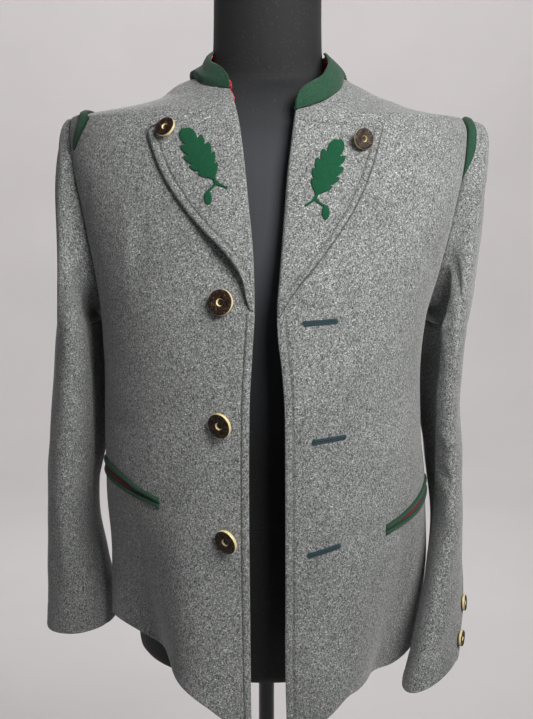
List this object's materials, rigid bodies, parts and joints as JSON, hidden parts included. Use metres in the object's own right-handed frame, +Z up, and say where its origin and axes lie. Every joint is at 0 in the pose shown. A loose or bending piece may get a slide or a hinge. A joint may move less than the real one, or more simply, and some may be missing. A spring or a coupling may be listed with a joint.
{
  "type": "tyrolean loden jacket on a limbless dress form with a stand",
  "caption": "Single-breasted grey loden jacket with green felt trim, oak leaf lapels and horn buttons, worn open on a black dress form with a pole and round base.",
  "frame": {"origin": "centre of the bounding box's underside, on the floor", "axes": "+Z up, -Y the jacket's front, +X the wearer's left"},
  "size_m": [0.5164, 0.3544, 1.6151],
  "materials": {
    "loden": "grey melange loden, brushed and matte",
    "green_felt": "dark green wool felt, matte",
    "leaf_felt": "leaf green wool felt, matte",
    "red_felt": "red wool felt, matte",
    "buttonhole_thread": "teal buttonhole thread, slight sheen",
    "horn": "stag horn, polished, mottled dark brown with a pale rim",
    "black_jersey": "black jersey stretched over the form",
    "black_steel": "black powder coat, satin"
  },
  "bodies": {
    "root": {"back": "loden", "buttonhole_1": "buttonhole_thread", "buttonhole_2": "buttonhole_thread", "buttonhole_3": "buttonhole_thread", "collar": "green_felt", "collar_lining": "red_felt", "cuff_button_left_1": "horn", "cuff_button_left_2": "horn", "cuff_button_right_1": "horn", "cuff_button_right_2": "horn", "form_torso": "black_jersey", "front_button_1": "horn", "front_button_2": "horn", "front_button_3": "horn", "front_left": "loden", "front_right": "loden", "lapel_button_left": "horn", "lapel_button_right": "horn", "lapel_left": "loden", "lapel_right": "loden", "leaf_left": "leaf_felt", "leaf_right": "leaf_felt", "neck_cap": "black_steel", "pocket_lining_left": "red_felt", "pocket_lining_right": "red_felt", "pocket_welt_left": "green_felt", "pocket_welt_right": "green_felt", "shoulder_trim_left": "green_felt", "shoulder_trim_right": "green_felt", "sleeve_left": "loden", "sleeve_right": "loden", "stand_base": "black_steel", "stand_boss": "black_steel", "stand_pole": "black_steel"}
  },
  "joints": []
}
